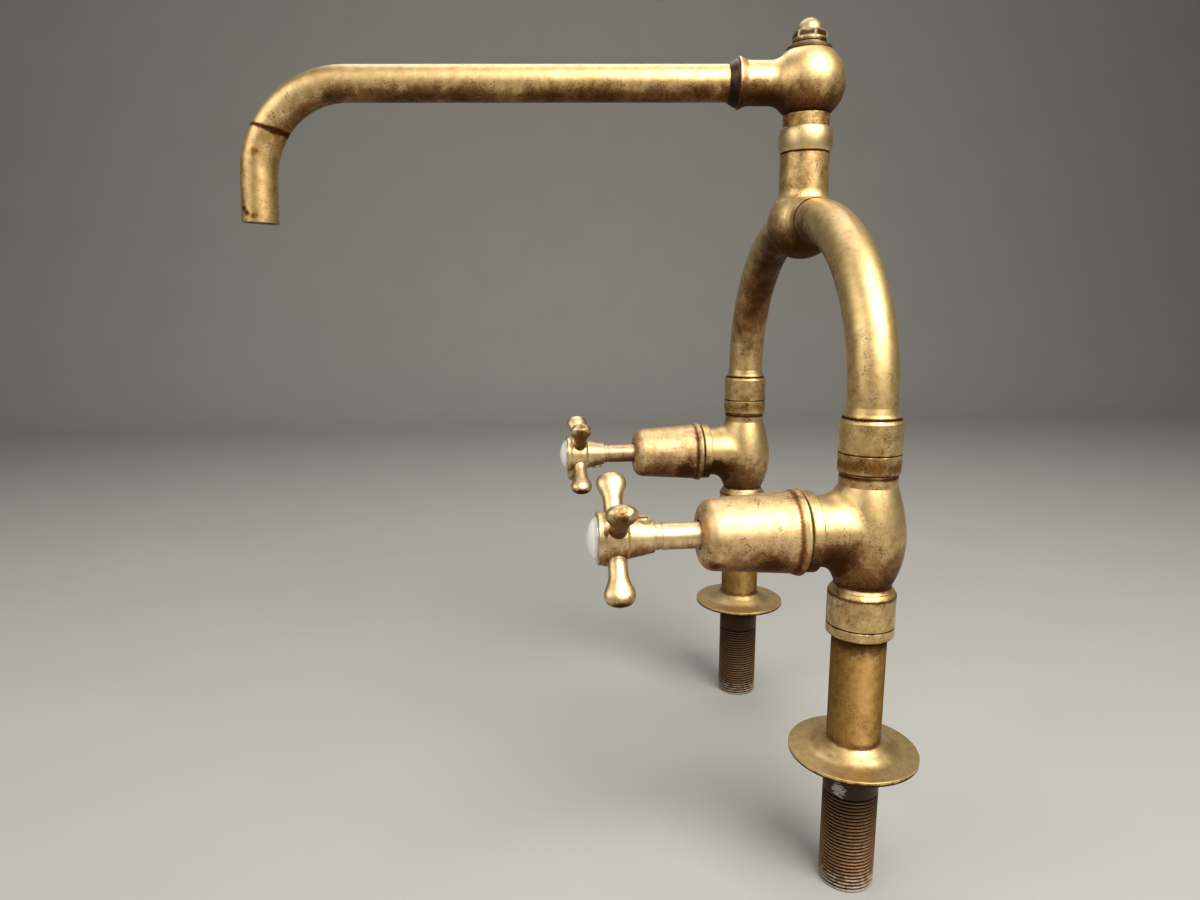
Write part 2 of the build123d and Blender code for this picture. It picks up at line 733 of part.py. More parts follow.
# ---- assembly -------------------------------------------------------------------------
def side_nodes(side, sign):
    """All pieces of one leg, placed."""
    leg = Pos(sign * CENTRES / 2, 0, 0)
    turned = Rot(0, 0, HANDLE_TURN[side])
    upright = {
        "tail_pipe": tail_pipe(),
        "deck_flange": deck_flange(),
        "lower_union_ring": lower_union_ring(),
        "lower_union_nut": lower_union_nut(),
        "lower_union_washer": lower_union_washer(),
        "valve_body": valve_body(),
        "upper_lock_ring": upper_lock_ring(),
        "upper_union_nut": upper_union_nut(),
        "upper_union_washer": upper_union_washer(),
    }
    fronted = {
        "bonnet_washer": bonnet_washer(),
        "headwork": headwork(),
        "gland_packing": gland_packing(),
        "gland_nut": gland_nut(),
        "cover": cover(),
        "spindle": turned * spindle(),
        "jumper": jumper(),
        "jumper_washer": jumper_washer(),
        "cross_handle": turned * cross_handle(),
        "index_disc": index_disc(),
        "grub_screw": turned * grub_screw(),
    }
    nodes = {f"{side}_{name}": leg * piece for name, piece in upright.items()}
    for name, piece in fronted.items():
        nodes[f"{side}_{name}"] = leg * along_front(piece)
    arm = bridge_arm()
    nodes[f"{side}_arm"] = arm if sign > 0 else mirror(arm, Plane.YZ)
    return nodes


def centre_nodes():
    """The tee, the swivel and the spout."""
    return {
        "tee_body": tee_body(),
        "swivel_post": swivel_post(),
        "bead_collar": bead_collar(),
        "swivel_head": swivel_head(),
        "lower_packing": packing_ring(318.0, 320.6),
        "upper_packing": packing_ring(343.0, 345.6),
        "top_washer": top_washer(),
        "dome_nut": dome_nut(),
        "spout_collar": spout_collar(),
        "spout_tube": spout_tube(),
        "spout_nozzle": spout_nozzle(),
    }


os.makedirs("parts", exist_ok=True)
all_nodes = centre_nodes()
for side_name, side_sign in SIDES.items():
    all_nodes.update(side_nodes(side_name, side_sign))
for node_name, solid in all_nodes.items():
    export_step(solid, f"parts/{node_name}.step")
    print(node_name, round(solid.volume, 1))
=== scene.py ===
import math
import bmesh
import bpy
from mathutils import Matrix, Vector


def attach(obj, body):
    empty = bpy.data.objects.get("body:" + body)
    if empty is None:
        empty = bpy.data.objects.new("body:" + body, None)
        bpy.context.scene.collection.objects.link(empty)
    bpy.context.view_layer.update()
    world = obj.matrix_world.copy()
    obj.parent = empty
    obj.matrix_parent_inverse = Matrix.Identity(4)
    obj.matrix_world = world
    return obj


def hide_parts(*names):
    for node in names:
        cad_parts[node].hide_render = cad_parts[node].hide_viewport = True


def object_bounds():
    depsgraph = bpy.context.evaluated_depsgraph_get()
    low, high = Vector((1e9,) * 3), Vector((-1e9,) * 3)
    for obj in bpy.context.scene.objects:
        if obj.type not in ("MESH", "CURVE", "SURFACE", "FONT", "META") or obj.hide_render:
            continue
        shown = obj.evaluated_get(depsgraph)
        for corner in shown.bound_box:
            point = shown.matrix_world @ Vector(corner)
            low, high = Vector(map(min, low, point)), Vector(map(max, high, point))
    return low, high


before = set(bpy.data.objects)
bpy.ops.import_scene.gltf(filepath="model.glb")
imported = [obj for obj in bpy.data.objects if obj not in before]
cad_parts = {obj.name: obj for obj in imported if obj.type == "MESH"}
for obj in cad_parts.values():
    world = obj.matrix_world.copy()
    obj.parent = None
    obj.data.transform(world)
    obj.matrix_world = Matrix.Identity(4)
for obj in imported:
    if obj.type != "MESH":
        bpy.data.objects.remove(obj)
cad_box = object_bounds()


# ---- camera --------------------------------------------------------------------------
# The photograph's viewpoint, fitted to the faucet's own edges: a phone held in front of
# the cold leg, a little above the bridge's middle, looking across to the hot leg.
PHOTO_SIZE = (1200, 900)
PHOTO_FOCAL_PX = 806.23
SENSOR_M = 0.036
camera_place = Vector((0.44834, -0.16071, 0.21708))
camera_right = Vector((0.10613, 0.99435, -0.00294))
camera_down = Vector((0.18044, -0.02217, -0.98334))
camera_forward = Vector((-0.97784, 0.10383, -0.18177))

camera_data = bpy.data.cameras.new("photo_camera")
camera_data.sensor_fit = "HORIZONTAL"
camera_data.sensor_width = SENSOR_M * 1000
camera_data.lens = SENSOR_M * 1000 * PHOTO_FOCAL_PX / PHOTO_SIZE[0]
camera_data.clip_start = 0.01
camera_data.clip_end = 20.0
camera = bpy.data.objects.new("photo_camera", camera_data)
camera_axes = Matrix((camera_right, -camera_down, -camera_forward)).transposed()
camera.matrix_world = Matrix.Translation(camera_place) @ camera_axes.to_4x4()
bpy.context.scene.collection.objects.link(camera)
bpy.context.scene.camera = camera
bpy.context.scene.view_settings.view_transform = "Standard"


# ---- floor and studio light ----------------------------------------------------------
# A plain pale paper sweep. The faucet stands on the ends of its tails, as it is
# displayed, and two large soft lamps and a dim room light it.
FLOOR_Z = cad_box[0][2]
FLOOR_COLOUR = "#ABAAA5"
FIBRE_COLOUR = "#A4A39E"
ROOM_COLOUR = "#8B8A84"
ROOM_STRENGTH = 0.29
SWEEP_BEND_STEPS = 12


def linear(hex_colour):
    """Turns an sRGB hex colour to the linear RGBA that sockets take."""
    channels = [int(hex_colour[i:i + 2], 16) / 255 for i in (1, 3, 5)]
    return [c / 12.92 if c <= 0.04045 else ((c + 0.055) / 1.055) ** 2.4 for c in channels] + [1.0]


def add_node(tree, kind, settings=None, links=None):
    """Adds one node, with its properties and socket values, and joins its inputs."""
    node = tree.nodes.new(kind)
    for name, value in (settings or {}).items():
        if isinstance(name, str) and hasattr(node, name):
            setattr(node, name, value)
        else:
            node.inputs[name].default_value = value
    for socket, source in (links or {}).items():
        tree.links.new(source, node.inputs[socket])
    return node


def new_material(name):
    """An empty node material and its tree."""
    material = bpy.data.materials.new(name)
    material.use_nodes = True
    material.node_tree.nodes.clear()
    return material, material.node_tree


def new_mesh_object(name, mesh_maker):
    """A finished piece at the origin whose mesh is made in metres by mesh_maker."""
    mesh = bpy.data.meshes.new(name)
    shape = bmesh.new()
    mesh_maker(shape)
    shape.to_mesh(mesh)
    shape.free()
    piece = bpy.data.objects.new(name, mesh)
    bpy.context.scene.collection.objects.link(piece)
    return piece


def paper_material():
    """Matt paper: soft, with a very faint fibre."""
    material, tree = new_material("matt_paper")
    coords = add_node(tree, "ShaderNodeTexCoord")
    fibre = add_node(tree, "ShaderNodeTexNoise", {"Scale": 9.0, "Detail": 3.0},
                     {"Vector": coords.outputs["Object"]})
    tone = add_node(tree, "ShaderNodeMix", {"data_type": "RGBA", 6: linear(FLOOR_COLOUR),
                                            7: linear(FIBRE_COLOUR)},
                    {0: fibre.outputs["Fac"]})
    surface = add_node(tree, "ShaderNodeBsdfPrincipled", {"Roughness": 0.85},
                       {"Base Color": tone.outputs[2]})
    add_node(tree, "ShaderNodeOutputMaterial", None, {"Surface": surface.outputs[0]})
    return material


def make_sweep(shape):
    """Floor that curves up into a backdrop behind the hot leg."""
    front, bend_start, bend_radius, top, half_width = 2.2, -1.4, 0.5, 2.2, 3.0
    profile = [shape.verts.new((front, -half_width, FLOOR_Z))]
    for step in range(SWEEP_BEND_STEPS + 1):
        angle = math.radians(90 * step / SWEEP_BEND_STEPS)
        x = bend_start - bend_radius * math.sin(angle)
        z = FLOOR_Z + bend_radius * (1 - math.cos(angle))
        profile.append(shape.verts.new((x, -half_width, z)))
    profile.append(shape.verts.new((bend_start - bend_radius, -half_width, FLOOR_Z + top)))
    edges = [shape.edges.new(pair) for pair in zip(profile, profile[1:])]
    grown = bmesh.ops.extrude_edge_only(shape, edges=edges)
    moved = [item for item in grown["geom"] if isinstance(item, bmesh.types.BMVert)]
    bmesh.ops.translate(shape, vec=(0, 2 * half_width, 0), verts=moved)
    bmesh.ops.recalc_face_normals(shape, faces=shape.faces)
    for face in shape.faces:
        face.smooth = True


sweep = new_mesh_object("paper_sweep", make_sweep)
sweep.data.materials.append(paper_material())


def soft_lamp(name, place, aim, size, power, colour):
    """A square soft lamp at a place, aimed at a point."""
    data = bpy.data.lights.new(name, "AREA")
    data.shape = "RECTANGLE"
    data.size, data.size_y = size
    data.energy = power
    data.color = linear(colour)[:3]
    lamp = bpy.data.objects.new(name, data)
    facing = (Vector(aim) - Vector(place)).to_track_quat("-Z", "Y")
    lamp.matrix_world = Matrix.Translation(place) @ facing.to_matrix().to_4x4()
    bpy.context.scene.collection.objects.link(lamp)


soft_lamp("key_softbox", (0.80, 0.30, 1.05), (0, -0.02, 0.15), (1.0, 1.0), 28.5, "#FFFAF3")
soft_lamp("fill_softbox", (0.45, -1.15, 0.80), (0, -0.05, 0.15), (0.9, 0.9), 7.0, "#FFFAF3")
soft_lamp("top_softbox", (-0.45, -0.05, 1.25), (0, 0, 0.1), (0.9, 0.9), 6.0, "#FFFFFF")

world = bpy.data.worlds.new("room")
world.use_nodes = True
room_light = world.node_tree.nodes["Background"]
room_light.inputs["Color"].default_value = linear(ROOM_COLOUR)
room_light.inputs["Strength"].default_value = ROOM_STRENGTH
bpy.context.scene.world = world


# ---- legs, unions, valve bodies: cast and turned brass, long in use -------------------
# Yellow brass castings and tube, once polished. Handling keeps the tops bright and creamy;
# brown tarnish and fine pitting gather below, at joints and in hollows, and the undersides'
# darkening is also painted shade.
HALF = 0.1016
SIDES = {"hot": -1, "cold": 1}
CLOUD_M = 0.022            # size of the broad light and dark patches
MOTTLE_M = 0.0045          # size of the blotches
SPECK_M = 0.0008           # size of the brown specks
CLUSTER_M = 0.008          # size of the patches that the specks keep to
PIT_M = SPECK_M / 0.7      # distance between pits
PIT_DEPTH_M = 0.0003
SPECK_COLOUR = "#3F250E"
# Undersides darken as tarnish and as painted shade between these two upward parts of the normal;
# the stain values that follow carry that painted shade too.
UNDERSIDE_SHADE_AND_TARNISH = (0.30, -0.75)  # upward parts of the normal where an underside starts, and is full
STAIN_AND_SHADE = (0.56, 1.25)     # tarnish values at which brass starts to turn brown, and is darkest
DOTTED = (1.07, 1.14)      # speck values at which a speck starts, and is full
COAT_ROUGHNESS = 0.36      # of the whiter sheen on clean brass


def gather_grime_and_shade(tree, coords, mottle, bands, spots):
    """Grime, and in some places painted shade, along joints and in spots, as one value: its edges
    wander with the mottle.

    bands holds (direction, distance along it, reach, strength) and spots holds
    (centre, reach, strength), in metres."""
    wander = add_node(tree, "ShaderNodeMath", {"operation": "MULTIPLY_ADD", 1: 1.6, 2: 0.2},
                      {0: mottle.outputs["Fac"]})
    total = None
    for where, distance, reach, strength in list(bands) + [
            (centre, None, reach, strength) for centre, reach, strength in spots]:
        if distance is None:
            away = add_node(tree, "ShaderNodeVectorMath", {"operation": "DISTANCE", 1: where},
                            {0: coords.outputs["Object"]}).outputs["Value"]
        else:
            along = add_node(tree, "ShaderNodeVectorMath", {"operation": "DOT_PRODUCT", 1: where},
                             {0: coords.outputs["Object"]})
            away = add_node(tree, "ShaderNodeMath", {"operation": "SUBTRACT", 1: distance},
                            {0: along.outputs["Value"]})
            away = add_node(tree, "ShaderNodeMath", {"operation": "ABSOLUTE"},
                            {0: away.outputs[0]}).outputs[0]
        spread = add_node(tree, "ShaderNodeMath", {"operation": "DIVIDE"},
                          {0: away, 1: wander.outputs[0]})
        near = add_node(tree, "ShaderNodeMapRange",
                        {"interpolation_type": "SMOOTHSTEP", "From Min": reach, "From Max": 0.0,
                         "To Max": strength}, {"Value": spread.outputs[0]})
        if total is None:
            total = near
        else:
            total = add_node(tree, "ShaderNodeMath", {"operation": "MAXIMUM"},
                             {0: total.outputs[0], 1: near.outputs[0]})
    return total


def aged_brass(name, light="#E4CA90", middle="#C39C5A", brown="#8A6230", tarnish_and_shade_colour="#4A2A10",
               dirt=0.30, under_shade_and_tarnish=0.60, pits=0.3, roughness=0.48, polish=0.8, seed=0.0, bands=(),
               spots=()):
    """Satin brass, tarnished and with painted shade: dirt is its overall amount, and the underside
    setting is what undersides add, as patina and as painted shade.

    Clean brass drifts between light and middle, and turns brown and then dark as it stains or
    lies in painted shade; polish is the strength of its whiter sheen. Bands and spots are
    gathered dirt, and some of them are painted shade."""
    material, tree = new_material(name)
    coords = add_node(tree, "ShaderNodeTexCoord")
    shifted = add_node(tree, "ShaderNodeMapping", {"Location": (seed, seed * 0.7, seed * 1.3)},
                       {"Vector": coords.outputs["Object"]})
    place = shifted.outputs[0]
    cloud = add_node(tree, "ShaderNodeTexNoise",
                     {"Scale": 1 / CLOUD_M, "Detail": 3.0, "Roughness": 0.55}, {"Vector": place})
    mottle = add_node(tree, "ShaderNodeTexNoise",
                      {"Scale": 1 / MOTTLE_M, "Detail": 5.0, "Roughness": 0.68}, {"Vector": place})
    speck = add_node(tree, "ShaderNodeTexNoise",
                     {"Scale": 1 / SPECK_M, "Detail": 3.0, "Roughness": 0.6}, {"Vector": place})
    cluster = add_node(tree, "ShaderNodeTexNoise",
                       {"Scale": 1 / CLUSTER_M, "Detail": 2.0, "Roughness": 0.6}, {"Vector": place})
    pit = add_node(tree, "ShaderNodeTexVoronoi", {"Scale": 1 / PIT_M}, {"Vector": place})
    facing = add_node(tree, "ShaderNodeSeparateXYZ", None, {0: coords.outputs["Normal"]})
    shade_and_tarnish_below = add_node(tree, "ShaderNodeMapRange",
                     {"From Min": UNDERSIDE_SHADE_AND_TARNISH[0], "From Max": UNDERSIDE_SHADE_AND_TARNISH[1]},
                     {"Value": facing.outputs["Z"]})

    # how tarnished each spot is, and how deep in painted shade: broad patches, undersides and
    # joints, broken by the mottle
    amount = add_node(tree, "ShaderNodeMath",
                      {"operation": "MULTIPLY_ADD", 1: under_shade_and_tarnish, 2: dirt - 0.3},
                      {0: shade_and_tarnish_below.outputs[0]})
    amount = add_node(tree, "ShaderNodeMath", {"operation": "MULTIPLY_ADD", 1: 0.6},
                      {0: cloud.outputs["Fac"], 2: amount.outputs[0]})
    if bands or spots:
        grime_and_shade = gather_grime_and_shade(tree, coords, mottle, bands, spots)
        amount = add_node(tree, "ShaderNodeMath", {"operation": "ADD"},
                          {0: amount.outputs[0], 1: grime_and_shade.outputs[0]})
    broken = add_node(tree, "ShaderNodeMath", {"operation": "MULTIPLY_ADD", 1: 0.40},
                      {0: mottle.outputs["Fac"], 2: amount.outputs[0]})
    stain_and_shade = add_node(tree, "ShaderNodeMapRange",
                     {"interpolation_type": "SMOOTHSTEP", "From Min": STAIN_AND_SHADE[0],
                      "From Max": STAIN_AND_SHADE[1]}, {"Value": broken.outputs[0]})
    dotted = add_node(tree, "ShaderNodeMath", {"operation": "MULTIPLY_ADD", 1: 0.35},
                      {0: amount.outputs[0], 2: speck.outputs["Fac"]})
    dotted = add_node(tree, "ShaderNodeMath", {"operation": "MULTIPLY_ADD", 1: 0.60},
                      {0: cluster.outputs["Fac"], 2: dotted.outputs[0]})
    dots = add_node(tree, "ShaderNodeMapRange",
                    {"From Min": DOTTED[0], "From Max": DOTTED[1], "To Max": 0.62},
                    {"Value": dotted.outputs[0]})

    # clean brass, then the brown and the dark stain, also used as painted shade on undersides and
    # in some joints, then the specks
    tone = add_node(tree, "ShaderNodeMapRange", {"From Min": 0.30, "From Max": 0.75},
                    {"Value": mottle.outputs["Fac"]})
    clean = add_node(tree, "ShaderNodeMix",
                     {"data_type": "RGBA", 6: linear(light), 7: linear(middle)},
                     {0: tone.outputs[0]})
    browned = add_node(tree, "ShaderNodeMapRange", {"From Max": 0.5}, {"Value": stain_and_shade.outputs[0]})
    stained_and_shaded = add_node(tree, "ShaderNodeMix", {"data_type": "RGBA", 7: linear(brown)},
                       {0: browned.outputs[0], 6: clean.outputs[2]})
    darkened = add_node(tree, "ShaderNodeMapRange", {"From Min": 0.5}, {"Value": stain_and_shade.outputs[0]})
    stained_and_shaded = add_node(tree, "ShaderNodeMix", {"data_type": "RGBA", 7: linear(tarnish_and_shade_colour)},
                       {0: darkened.outputs[0], 6: stained_and_shaded.outputs[2]})
    specked = add_node(tree, "ShaderNodeMix", {"data_type": "RGBA", 7: linear(SPECK_COLOUR)},
                       {0: dots.outputs[0], 6: stained_and_shaded.outputs[2]})
    dull = add_node(tree, "ShaderNodeMapRange", {"To Min": roughness, "To Max": roughness + 0.2},
                    {"Value": stain_and_shade.outputs[0]})
    gloss = add_node(tree, "ShaderNodeMapRange", {"To Min": polish, "To Max": 0.0},
                     {"Value": stain_and_shade.outputs[0]})

    # fine pits where it is tarnished, and a slight unevenness everywhere
    hollow = add_node(tree, "ShaderNodeMapRange", {"From Min": 0.12, "From Max": 0.32},
                      {"Value": pit.outputs["Distance"]})
    pitted = add_node(tree, "ShaderNodeMapRange", {"From Min": 0.45, "From Max": 0.75},
                      {"Value": amount.outputs[0]})
    depth = add_node(tree, "ShaderNodeMix", {"data_type": "FLOAT", 2: 1.0},
                     {0: pitted.outputs[0], 3: hollow.outputs[0]})
    relief = add_node(tree, "ShaderNodeMath", {"operation": "MULTIPLY_ADD", 1: 0.15},
                      {0: mottle.outputs["Fac"], 2: depth.outputs[0]})
    bump = add_node(tree, "ShaderNodeBump", {"Strength": pits, "Distance": PIT_DEPTH_M},
                    {"Height": relief.outputs[0]})
    surface = add_node(tree, "ShaderNodeBsdfPrincipled",
                       {"Metallic": 1.0, "Coat Roughness": COAT_ROUGHNESS},
                       {"Base Color": specked.outputs[2], "Roughness": dull.outputs[0],
                        "Coat Weight": gloss.outputs[0], "Normal": bump.outputs[0]})
    add_node(tree, "ShaderNodeOutputMaterial", None, {"Surface": surface.outputs[0]})
    return material


def finish_node(node, material):
    """Gives a CAD node its finish."""
    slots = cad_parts[node].data.materials
    slots.clear()
    slots.append(material)


UP = (0, 0, 1)
OUT = (0, 1, 0)
ACROSS = (1, 0, 0)
# The legs' brass is dark brown: oxidised, and darker still as painted shade on the upright tubes.
shaded_oxidised_leg_brass = aged_brass("shaded_oxidised_leg_brass", light="#8E6E38", middle="#6E5226", brown="#5F421F",
                       dirt=0.40, roughness=0.64, polish=0.15, seed=1.7,
                       bands=[(UP, 0.0600, 0.009, 0.35), (UP, 0.0090, 0.003, 0.25)])
# The band at the deck darkens the rim's lower edge and side wall: painted shade.
flange_brass = aged_brass("flange_brass", dirt=0.24, under_shade_and_tarnish=0.5, seed=4.1,
                          bands=[(UP, 0.0080, 0.0012, 0.4), (UP, 0.0000, 0.0017, 0.9)],
                          spots=[((0.1120, -0.0150, 0.0060), 0.005, 0.35)])
union_brass = aged_brass("union_brass", dirt=0.40, under_shade_and_tarnish=0.45, seed=7.9,
                         bands=[(UP, 0.0670, 0.0006, 0.6), (UP, 0.1489, 0.0006, 0.6),
                                (UP, 0.1648, 0.0008, 0.5), (UP, 0.0822, 0.0016, 0.3),
                                (UP, 0.1440, 0.0050, 0.15)])
body_brass = aged_brass("body_brass", dirt=0.28, under_shade_and_tarnish=0.88, pits=0.45, seed=9.3,
                        bands=[(UP, 0.0865, 0.0018, 0.4), (UP, 0.1385, 0.0014, 0.4)],
                        spots=[((-0.0880, -0.0240, 0.1020), 0.010, 0.7),
                               ((0.1100, -0.0220, 0.0960), 0.008, 0.4)])
# Its first spot carries the tee's dirt and painted shade on, beneath the near arm's root.
arm_brass = aged_brass("arm_brass", dirt=0.26, under_shade_and_tarnish=0.72, seed=2.6,
                       bands=[(UP, 0.1655, 0.0014, 0.5)],
                       spots=[((0.0215, -0.003, 0.2475), 0.006, 0.5),
                              ((0.0300, -0.009, 0.2600), 0.018, 0.28)])
for side in SIDES:
    finish_node(f"{side}_deck_flange", flange_brass)
    finish_node(f"{side}_valve_body", body_brass)
    finish_node(f"{side}_arm", arm_brass)
    for name in ("lower_union_ring", "lower_union_nut", "upper_lock_ring", "upper_union_nut"):
        finish_node(f"{side}_{name}", union_brass)


# ---- tails ---------------------------------------------------------------------------
# Each leg is one brass tube. Its tail below the deck has a 3/4 in parallel pipe thread,
# dark brown in the roots, rubbed lighter on the crests, with lime scale at the end.
TAIL_R = 0.01322
RELIEF_R = 0.01302
RELIEF_Z = -0.0010
PITCH = 0.001814
THREAD_DEPTH = 0.640327 * PITCH
THREAD_LOW = -0.0685
THREAD_HIGH = -0.0190
SHOULDER_Z = 0.0010
LEG_R = 0.01277
LEG_TOP = 0.0716
SEAT_COLLAR_R = 0.0141     # the collar that the lower union's nut pulls on
SEAT_COLLAR_HEIGHT = 0.002
BORE_R = 0.0095
BORE_CHAMFER = 0.0006
RUN_OUT = 0.0004           # height of the slope from the last groove to the plain part
TURN_STEPS = 72
MERGE_M = 2e-6             # closer points of neighbouring turns are one
THREAD_MOTTLE_M = 0.003
PAINT_STROKE_M = 0.0035
PAINT_PLACE = (0.0085, -0.0100, -0.0145)   # from the tail's own axis
PAINT_REACH = (0.0110, 0.002)
RUB_HEIGHTS = (-0.022, -0.050)             # where the crests are least and most rubbed


def make_tail(shape, x):
    """A tail: helical thread, plain leg, seat collar and bore, spun about its own axis."""
    turns = int((THREAD_HIGH - THREAD_LOW) / PITCH) + 3
    low = THREAD_LOW - PITCH
    flat = PITCH / 6
    flank = (PITCH - 2 * flat) / 2
    steps = [(TAIL_R - THREAD_DEPTH, 0.0), (TAIL_R - THREAD_DEPTH, flat),
             (TAIL_R, flat + flank), (TAIL_R, flat + flank + flat),
             (TAIL_R - THREAD_DEPTH, PITCH)]
    groove = [shape.verts.new((radius, 0, low + height)) for radius, height in steps]
    edges = [shape.edges.new(pair) for pair in zip(groove, groove[1:])]
    bmesh.ops.spin(shape, geom=groove + edges, cent=(0, 0, 0), axis=(0, 0, 1),
                   dvec=(0, 0, PITCH / TURN_STEPS), angle=2 * math.pi * turns,
                   steps=TURN_STEPS * turns, use_merge=False)
    bmesh.ops.remove_doubles(shape, verts=shape.verts, dist=MERGE_M)
    for height, above in ((THREAD_LOW, False), (THREAD_HIGH, True)):
        everything = shape.verts[:] + shape.edges[:] + shape.faces[:]
        bmesh.ops.bisect_plane(shape, geom=everything,
                               dist=1e-7, plane_co=(0, 0, height), plane_no=(0, 0, 1),
                               clear_outer=above, clear_inner=not above)
    rims = [edge for edge in shape.edges if edge.is_boundary]
    low_rim = [edge for edge in rims if edge.verts[0].co.z < (THREAD_LOW + THREAD_HIGH) / 2]
    high_rim = [edge for edge in rims if edge not in low_rim]

    def ring(radius, height):
        made = bmesh.ops.create_circle(shape, segments=TURN_STEPS, radius=radius,
                                       matrix=Matrix.Translation((0, 0, height)))
        edges = []
        for vert in made["verts"]:
            edges += [edge for edge in vert.link_edges if edge not in edges]
        return edges

    collar_low = LEG_TOP - SEAT_COLLAR_HEIGHT
    outline = [(TAIL_R, THREAD_HIGH + RUN_OUT), (TAIL_R, RELIEF_Z), (RELIEF_R, RELIEF_Z),
               (RELIEF_R, SHOULDER_Z), (LEG_R, SHOULDER_Z), (LEG_R, collar_low),
               (SEAT_COLLAR_R, collar_low), (SEAT_COLLAR_R, LEG_TOP), (BORE_R, LEG_TOP),
               (BORE_R, 0.0), (BORE_R, THREAD_LOW + BORE_CHAMFER),
               (BORE_R + BORE_CHAMFER, THREAD_LOW)]
    loops = [high_rim] + [ring(*point) for point in outline] + [low_rim]
    for first, second in zip(loops, loops[1:]):
        bmesh.ops.bridge_loops(shape, edges=first + second)
    bmesh.ops.recalc_face_normals(shape, faces=shape.faces)
    if shape.calc_volume(signed=True) < 0:
        bmesh.ops.reverse_faces(shape, faces=shape.faces)
    for face in shape.faces:
        height = face.calc_center_median().z
        face.smooth = height > THREAD_HIGH and abs(face.normal.z) < 0.3
        if height > SHOULDER_Z:
            face.material_index = 1
    bmesh.ops.translate(shape, vec=(x, 0, 0), verts=shape.verts)


